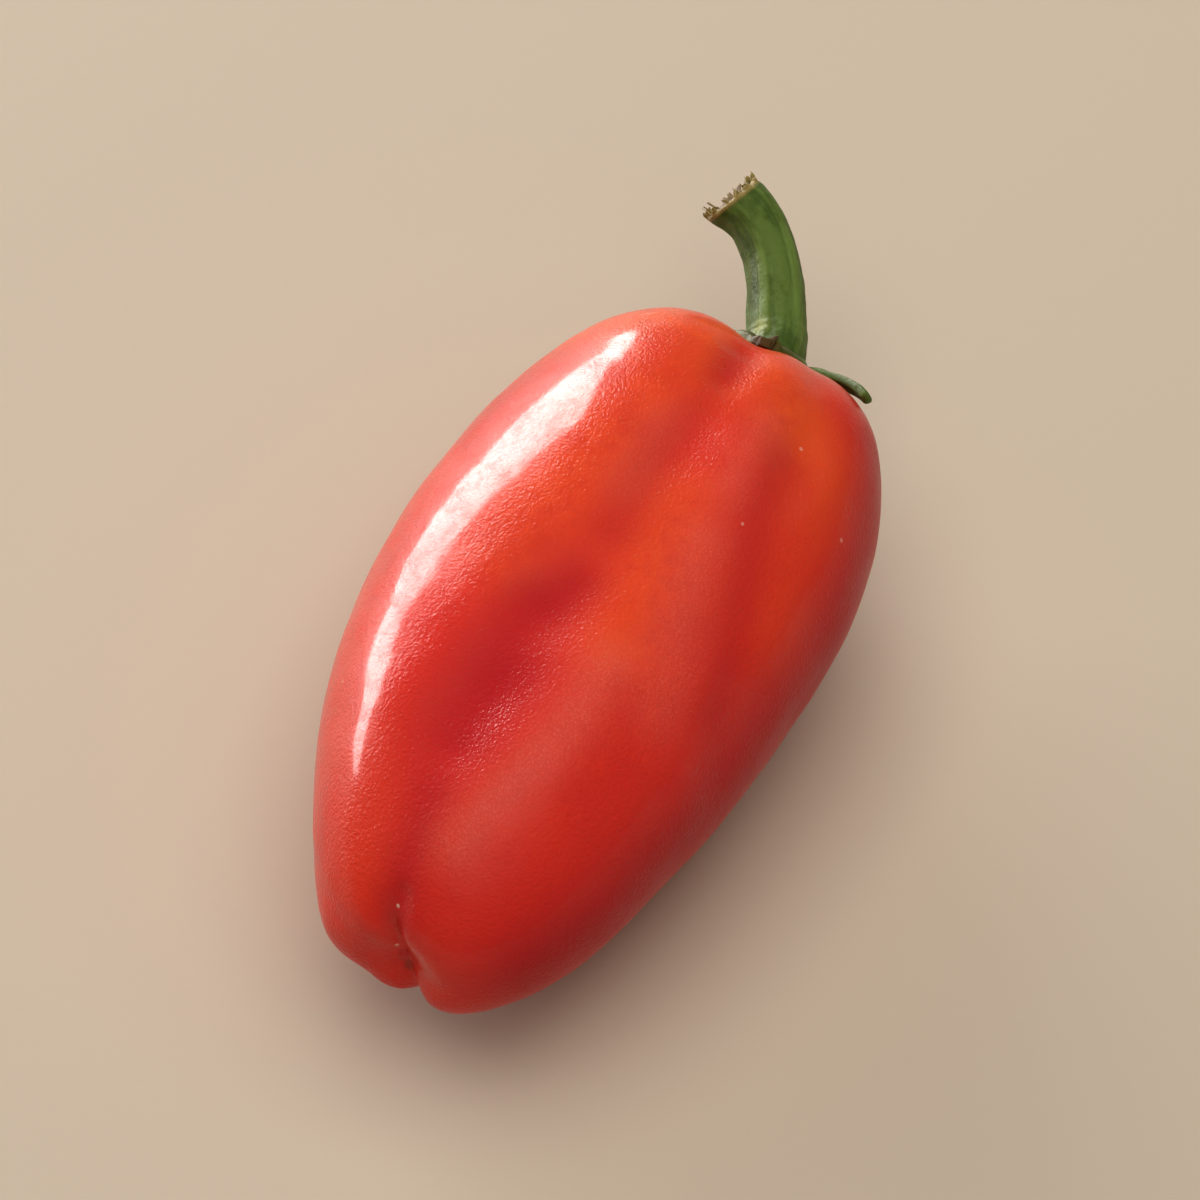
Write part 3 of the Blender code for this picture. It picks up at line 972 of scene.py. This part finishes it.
def read_stem():
    """The stem's line as closely spaced places, each with its radius."""
    line = []
    knots = [Vector((point.x, point.y, point.z, point.radius)) for point in STEM_POINTS]
    knots = [2 * knots[0] - knots[1], *knots, 2 * knots[-1] - knots[-2]]
    for index in range(1, len(knots) - 2):
        for step in range(STEPS_PER_POINT):
            share = step / STEPS_PER_POINT
            around_it = zip(knots[index - 1], knots[index], knots[index + 1], knots[index + 2])
            x, y, z, radius = (curve_through(*four, share) for four in around_it)
            line.append((stem_foot + Vector((x, y, z)), radius))
    return line


stem_line = read_stem()
cut_middle = stem_foot + CUT_POINT
stem_line = [spot for spot in stem_line if (spot[0] - cut_middle).dot(CUT_NORMAL) < -STEM_MARGIN]
print("Places along the stem:", len(stem_line))

# %% Extrude the stem
FOOT_WRINKLE = 0.035
FOOT_WRINKLES = (1, -1, 1, -1, 1, -1)


def turn_ring(old, new, centre):
    """Turns the selected ring from one direction to another, about its own middle."""
    turn = old.rotation_difference(new).to_euler("XYZ")
    for axis, angle in zip("XYZ", turn):
        bpy.ops.transform.rotate(value=-angle, orient_axis=axis, center_override=centre)


start_editing(green)
select_faces(green, lambda face: len(face.verts) == COLUMNS and face.normal.x > 0)
middle_face = next(face for face in bmesh.from_edit_mesh(green.data).faces if face.select)
ring_middle = middle_face.calc_center_median()
bpy.ops.transform.resize(value=(0, 1, 1), center_override=ring_middle)
bpy.ops.transform.tosphere(value=1, center_override=ring_middle)
ring_radius = FIRST_RADIUS
direction = Vector((1, 0, 0))
rows = [index for index, spot in enumerate(stem_line) if spot[0].x > ring_middle.x + STEM_MARGIN]
for count, index in enumerate(rows):
    place, radius = stem_line[index]
    if index + 1 < len(stem_line):
        new_direction = (stem_line[index + 1][0] - stem_line[index - 1][0]).normalized()
    else:
        new_direction = (place - stem_line[index - 1][0]).normalized()
    wrinkle = FOOT_WRINKLES[count] * FOOT_WRINKLE if count < len(FOOT_WRINKLES) else 0.0
    radius *= 1 + wrinkle
    bpy.ops.mesh.extrude_region_move(TRANSFORM_OT_translate={"value": place - ring_middle})
    turn_ring(direction, new_direction, place)
    growth = radius / ring_radius
    bpy.ops.transform.resize(value=(growth, growth, growth), center_override=place)
    ring_middle, ring_radius, direction = place, radius, new_direction
stop_editing()
print("Stem rings:", len(rows))

# %% [markdown]
# ## The stem's torn end
#
# The stem was torn off and not cut, so its end flares a little, its rim is uneven, its soft middle has
# dried and sunk, and short pale fibres stand out of the rim. A bump map can't give such an outline. The end
# face is turned to the angle of the tear, then extruded and shrunk in steps, which make the rim and sink
# the middle. Single faces of the rim are pulled out and tapered, some as short shreds and more as thin
# fibres. Which ones is drawn at random, always from the same seed. Blender lists new faces in a different
# order each run, so they are put in order first, and the same ones are drawn every time.

# %% Tear the end
END_RADIUS = 0.00285
# Each step inwards over the torn end: how far the ring shrinks, and how far it lies beyond the tear.
TORN_STEPS = ((0.93, 0.00020), (0.82, 0.00022), (0.74, -0.00005), (0.60, -0.00035), (0.34, -0.00025))
TEAR_SEED = 12
RIM_RINGS = 10
RIM_START = 0.72
RIM_TILT = 0.3
SAME_PLACE = 0.0003
# Each kind of fibre: how many, how wide its foot is, its shortest and longest length, its taper.
Fibre = namedtuple("Fibre", "count width shortest longest taper")
FIBRES = (
    Fibre(14, 0.00030, 0.00030, 0.00080, 0.84),
    Fibre(22, 0.00005, 0.00040, 0.00130, 0.78),
)
FIBRE_LEAN = (-0.1, 0.95)
FIBRE_SWAY = (-0.6, 0.6)
FIBRE_PARTS = 3


def select_end_face():
    select_faces(
        green,
        lambda face: len(face.verts) == COLUMNS
        and (face.calc_center_median() - ring_middle).length < SAME_PLACE,
    )


start_editing(green)
select_end_face()
bpy.ops.mesh.extrude_region_move(TRANSFORM_OT_translate={"value": cut_middle - ring_middle})
turn_ring(direction, CUT_NORMAL, cut_middle)
flare = END_RADIUS / ring_radius
bpy.ops.transform.resize(value=(flare, flare, flare), center_override=cut_middle)
ring_middle = cut_middle.copy()
share_before = 1.0
for share, lift in TORN_STEPS:
    bpy.ops.mesh.extrude_region_move(
        TRANSFORM_OT_translate={"value": cut_middle + CUT_NORMAL * lift - ring_middle}
    )
    ring_middle = cut_middle + CUT_NORMAL * lift
    bpy.ops.transform.resize(value=(share / share_before,) * 3, center_override=ring_middle)
    share_before = share


def on_rim(face):
    arm = face.calc_center_median() - cut_middle
    above = arm.dot(CUT_NORMAL)
    distance = (arm - CUT_NORMAL * above).length
    return face.normal.dot(CUT_NORMAL) > RIM_TILT and above > 0 and distance > RIM_START * END_RADIUS


def ring_and_angle(centre):
    """What the places on the rim are sorted by."""
    arm = centre - cut_middle
    flat = arm - CUT_NORMAL * arm.dot(CUT_NORMAL)
    return round(RIM_RINGS * flat.length / END_RADIUS), atan2(flat.dot(second_axis), flat.dot(first_axis))


draw = random.Random(TEAR_SEED)
first_axis = CUT_NORMAL.orthogonal().normalized()
second_axis = CUT_NORMAL.cross(first_axis)
rim = [face.calc_center_median() for face in bmesh.from_edit_mesh(green.data).faces if on_rim(face)]
rim.sort(key=ring_and_angle)
print("Faces on the torn rim:", len(rim))
for fibre in FIBRES:
    for centre in draw.sample(rim, fibre.count):
        found = select_faces(
            green, lambda face: (face.calc_center_median() - centre).length < fibre.width and on_rim(face)
        )
        if not found:
            continue
        outwards = (centre - cut_middle).normalized()
        sideways = outwards.cross(CUT_NORMAL) * draw.uniform(*FIBRE_SWAY)
        lean = outwards * draw.uniform(*FIBRE_LEAN) + sideways
        pull = (CUT_NORMAL + lean).normalized() * draw.uniform(fibre.shortest, fibre.longest) / FIBRE_PARTS
        for _ in range(FIBRE_PARTS):
            bpy.ops.mesh.extrude_region_move(TRANSFORM_OT_translate={"value": pull})
            centre = centre + pull
            bpy.ops.transform.resize(value=(fibre.taper,) * 3, center_override=centre)
bpy.ops.mesh.select_all(action="SELECT")
bpy.ops.mesh.normals_make_consistent(inside=False)
bpy.ops.mesh.faces_shade_smooth()
stop_editing()
print("Fibres pulled out:", sum(fibre.count for fibre in FIBRES))

# %% [markdown]
# ## The stem: ribs and grain
#
# Ribs run along the stem, and its fibres run lengthwise through stem and calyx. The ribs could be part of
# the ring that is extruded, but the fibres' pattern needs each point's angle round the stem and its
# distance along it anyway. So both are measured here and stored as the grain, and the points on five lines
# are raised into ribs. Other masks say how near a point is to the tear, to the pale scar at the stem's
# foot, and to the calyx and its short finger by the notch, which are painted brown, partly as a dried edge
# and partly as painted shade.

# %% Raise the ribs, and store where the grain runs
GRAIN_RADIUS = 0.003
GRAIN_STRETCH = 0.16
FOOT_MARGIN = 0.0002
FOOT_SHARE = 0.9
TORN_DEPTH = 0.0006
RIBS = 5
RIB_TURN = 0.6
RIB_EDGE = 0.45
RIB_HEIGHT = 0.00016
RIB_STOP = 0.0006
# The calyx by the notch is painted brown: partly a dried edge, partly painted shade.
BROWN_SHADE_ANGLE = 88
BROWN_SHADE_SPREAD = 38
BROWN_SHADE_START = 0.0035
BROWN_SHADE_WIDTH = 0.0012
SCAR_PLACE = Vector((0.0034, 0.0017, 0.0025))
SCAR_REACH = 0.0008

frames = []
sides = (Vector((0, 1, 0)), Vector((0, 0, 1)))
direction = Vector((1, 0, 0))
travelled = 0.0
for index in rows:
    place = stem_line[index][0]
    last_place = stem_line[index - 1][0]
    new_direction = (place - last_place).normalized()
    turn = direction.rotation_difference(new_direction)
    sides = tuple(turn @ side for side in sides)
    direction = new_direction
    travelled += (place - last_place).length
    frames.append((place, sides, travelled))

grain, rib, torn, brown_and_shade, scar = [], [], [], [], []
on_stem = []
for point in green.data.vertices:
    distance, angle = about_axis(point.co)
    place, (first_side, second_side), along = min(
        frames, key=lambda frame_here: (frame_here[0] - point.co).length
    )
    below_tear = (point.co - cut_middle).dot(CUT_NORMAL)
    if point.co.x < frames[0][0].x + FOOT_MARGIN and distance > FIRST_RADIUS * FOOT_SHARE:
        along = -distance
    else:
        arm = point.co - place
        angle = atan2(arm.dot(second_side), arm.dot(first_side))
        if below_tear < -RIB_STOP:
            on_stem.append(point.index)
    grain += (GRAIN_RADIUS * cos(angle), GRAIN_RADIUS * sin(angle), along * GRAIN_STRETCH)
    rib.append(cos(RIBS * angle + RIB_TURN))
    torn.append(1 + below_tear / TORN_DEPTH)
    turned = turn_between(angle, radians(BROWN_SHADE_ANGLE)) / radians(BROWN_SHADE_SPREAD)
    outside = min(1.0, max(0.0, (distance - BROWN_SHADE_START) / BROWN_SHADE_WIDTH))
    brown_and_shade.append(bell(turned) * outside * (along < 0))
    scar.append(bell((point.co - stem_foot - SCAR_PLACE).length / SCAR_REACH))

raised = {index for index in on_stem if rib[index] > RIB_EDGE}
start_editing(green)
select_points(green, lambda point: point.index in raised)
bpy.ops.transform.shrink_fatten(value=RIB_HEIGHT)
stop_editing()
store(green, "grain", grain, "FLOAT_VECTOR", "vector")
for name, values in (("rib", rib), ("torn", torn), ("brown_and_shade", brown_and_shade), ("scar", scar)):
    store(green, name, values)
print("Points raised into ribs:", len(raised))

# %% [markdown]
# ## The stem and calyx: rounding off
#
# So far the green piece is a coarse cage with hard corners. Bevels on every edge would be slow and uneven,
# so the whole cage is subdivided and rounds off by itself. The same kind of waves as on the pod, only
# smaller, then take away its regular look.

# %% Round the stem and calyx off
GREEN_LEVELS = 2
GREEN_WAVES = (Wave(0.0026, 0.00022), Wave(0.0009, 0.00007))

subdivide_smoothly(green, GREEN_LEVELS)
raise_waves(green, GREEN_WAVES)
print("Stem and calyx:", len(green.data.polygons), "faces")

# %% [markdown]
# ## The green skin
#
# The stem and calyx are tough and only slightly shiny, with fibres that run lengthwise. The ribs are
# painted lighter and yellower, as painted light where they catch it, the furrows between them are dark,
# the calyx by the notch is brown, partly as painted shade, and the torn end has dried to straw. The streaks
# follow the grain stored on the points, because a pattern in plain space would cut across the bend.

# %% Green skin material
GREEN = (0.062, 0.103, 0.014)
DARK_GREEN = (0.026, 0.054, 0.008)
LIGHT_GREEN = (0.150, 0.230, 0.045)
STRAW = (0.28, 0.20, 0.060)
DRY_BROWN = (0.17, 0.10, 0.030)
# Dark brown of the calyx by the notch, partly dried and partly painted shade.
BROWN_AND_SHADE = (0.070, 0.034, 0.010)
YELLOW_GREEN = (0.30, 0.31, 0.06)
GREEN_STREAKS = 650.0
GREEN_PATCHES = 260.0
GREEN_CELLS = 3200.0
STREAK_SHARE = 0.75
PATCH_LIGHT = 0.5
BROWN_SHADE_SHARES = (0.5, 1.0)
SCAR_SHARE = 0.85
DRY_STREAKS = 0.6
STREAK_RELIEF = 2.0
GREEN_BUMP = 0.8
GREEN_ROUGHNESS = (0.50, 0.66)
GREEN_FINISH = {
    "Subsurface Weight": 0.10,
    "Subsurface Radius": (0.5, 1.0, 0.2),
    "Subsurface Scale": 0.0010,
    "Specular IOR Level": 0.22,
    "Coat Weight": 0.03,
    "Coat Roughness": 0.30,
}


def make_green_skin():
    material, tree, shader = new_material("green_stem_skin")
    place = add_node(tree, "ShaderNodeTexCoord").outputs["Object"]
    along = add_node(tree, "ShaderNodeAttribute", attribute_name="grain").outputs["Vector"]
    streaks = noise(tree, along, GREEN_STREAKS, 4.0, 0.6)
    patchy = place_effect(tree, blotches, place, GREEN_PATCHES)

    colour = mix_colour(tree, remap(tree, patchy, 0.0, 1.0, 0.0, PATCH_LIGHT), GREEN, LIGHT_GREEN)
    # Painted light: a rib mask mixes the ribs towards light green, as where they catch the light.
    on_ribs = remap(tree, read_mask(tree, "rib"), 0.2, 1.0)
    light = multiply(tree, on_ribs, remap(tree, streaks, 0.35, 0.65))
    colour = mix_colour(tree, light, colour, LIGHT_GREEN)
    colour = mix_colour(tree, remap(tree, streaks, 0.52, 0.30, 0.0, STREAK_SHARE), colour, DARK_GREEN)
    streaky = remap(tree, streaks, 0.3, 0.6, *BROWN_SHADE_SHARES)
    # The calyx by the notch is mixed to dark brown, partly as a dried edge and partly as painted shade.
    colour = mix_colour(tree, multiply(tree, read_mask(tree, "brown_and_shade"), streaky), colour, BROWN_AND_SHADE)
    colour = mix_colour(tree, multiply(tree, read_mask(tree, "scar"), SCAR_SHARE), colour, YELLOW_GREEN)
    dry = calculate(tree, "ADD", read_mask(tree, "torn"), multiply(tree, streaks, DRY_STREAKS))
    dry_colour = mix_colour(tree, remap(tree, patchy, 0.2, 0.8), STRAW, DRY_BROWN)
    colour = mix_colour(tree, remap(tree, dry, 0.75, 1.35), colour, dry_colour)
    feed(tree, colour, shader.inputs["Base Color"])

    cells = place_effect(tree, skin_cells, place, GREEN_CELLS)
    relief = calculate(tree, "ADD", cells, multiply(tree, streaks, STREAK_RELIEF))
    add_bump(tree, shader, relief, GREEN_BUMP)
    feed(tree, remap(tree, streaks, 0.3, 0.7, *GREEN_ROUGHNESS), shader.inputs["Roughness"])
    set_inputs(shader, GREEN_FINISH)
    return material


green_skin = make_green_skin()
green.data.materials.clear()
green.data.materials.append(green_skin)
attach(green, "root")
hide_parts("stem_and_calyx")
print("Green skin on", green.name)

# %% [markdown]
# ## Floor and light
#
# The photograph is lit by one large window low on the far left, and by the pale room. The floor is plain,
# pale and warm. The window draws the long white streak down the left lobe, so it is a wide, low area light.
# One lamp can't give both the bright streak and the soft light on the skin, so there are two: one only
# lights the skin, and one is only seen in reflections. The second stands a little nearer, because two
# lights at the same place hide each other in reflections. A light overhead stands for the ceiling. It
# lights the skin and isn't reflected, as it would draw a second streak.

# %% Floor
FLOOR_SIZE = 4.0
FLOOR_COLOUR = (0.58, 0.48, 0.37, 1.0)

bpy.ops.object.select_all(action="DESELECT")
bpy.ops.mesh.primitive_plane_add(size=FLOOR_SIZE, location=(0, 0, 0))
floor = bpy.context.object
floor.name = "floor"
floor_finish, _, floor_shader = new_material("pale_floor")
floor_shader.inputs["Base Color"].default_value = FLOOR_COLOUR
floor_shader.inputs["Roughness"].default_value = 0.75
floor.data.materials.append(floor_finish)
print("Floor laid")

# %% Window and ceiling light
WINDOW_AZIMUTH = radians(66)
WINDOW_HEIGHT = radians(6)
WINDOW_ROLL = radians(-20)
WINDOW_DISTANCE = 1.0
SHINE_DISTANCE = 0.96
WINDOW_SIZE = (1.20, 0.60)
WINDOW_POWER = 11.5
SHINE_POWER = 46.0
CEILING_PLACE = Vector((0.0, 0.0, 1.20))
CEILING_SIZE = (1.20, 1.20)
CEILING_POWER = 11.5
DAYLIGHT = (1.0, 0.97, 0.93)


def direction_of(azimuth, height):
    return Vector((cos(azimuth) * cos(height), sin(azimuth) * cos(height), sin(height)))


def add_light(name, place, size, power, roll=0.0):
    """Adds an area light, turned to the pepper."""
    data = bpy.data.lights.new(name, "AREA")
    data.shape = "RECTANGLE"
    data.size, data.size_y = size
    data.energy = power
    data.color = DAYLIGHT
    light = bpy.data.objects.new(name, data)
    bpy.context.scene.collection.objects.link(light)
    light.location = place
    turn = (-place).to_track_quat("-Z", "Y") @ Quaternion((0, 0, 1), roll)
    light.rotation_euler = turn.to_euler()
    return light


to_window = direction_of(WINDOW_AZIMUTH, WINDOW_HEIGHT)
window = add_light("window", to_window * WINDOW_DISTANCE, WINDOW_SIZE, WINDOW_POWER, WINDOW_ROLL)
window.visible_glossy = False
window_shine = add_light("window_shine", to_window * SHINE_DISTANCE, WINDOW_SIZE, SHINE_POWER, WINDOW_ROLL)
window_shine.visible_diffuse = False
ceiling = add_light("ceiling", CEILING_PLACE, CEILING_SIZE, CEILING_POWER)
ceiling.visible_glossy = False
print("Lights in watts:", WINDOW_POWER, "and", SHINE_POWER, "at the window,", CEILING_POWER, "overhead")

# %% [markdown]
# ## The room's light
#
# The rest of the light comes from the walls. It could be one even, faint glow, but the lobes would then
# look flat. So soft glows are added to it: one high on the camera's side, one from the right of the
# picture, and one from below, which is seen only where the floor doesn't hide it.

# %% The room's light
Glow = namedtuple("Glow", "azimuth height spread strength")
GLOWS = (
    Glow(radians(-150), radians(68), radians(42), 0.55),
    Glow(radians(-25), radians(42), radians(30), 0.26),
    Glow(radians(0), radians(-90), radians(85), 0.90),
)
ROOM_COLOUR = (1.0, 0.93, 0.84)
ROOM_STRENGTH = 0.10

room = bpy.data.worlds.new("room")
bpy.context.scene.world = room
room.use_nodes = True
room_tree = room.node_tree
look = add_node(room_tree, "ShaderNodeTexCoord").outputs["Generated"]
strength = add_node(room_tree, "ShaderNodeValue").outputs[0]
strength.default_value = ROOM_STRENGTH
for glow in GLOWS:
    towards = add_node(room_tree, "ShaderNodeVectorMath", operation="DOT_PRODUCT")
    room_tree.links.new(look, towards.inputs[0])
    towards.inputs[1].default_value = direction_of(glow.azimuth, glow.height)
    soft = remap(room_tree, towards.outputs["Value"], cos(glow.spread), 1.0, 0.0, glow.strength)
    strength = calculate(room_tree, "ADD", strength, soft)
background = room_tree.nodes["Background"]
background.inputs["Color"].default_value = (*ROOM_COLOUR, 1.0)
room_tree.links.new(strength, background.inputs["Strength"])
bpy.context.scene.view_settings.view_transform = "Standard"
print("Room light with", len(GLOWS), "glows")
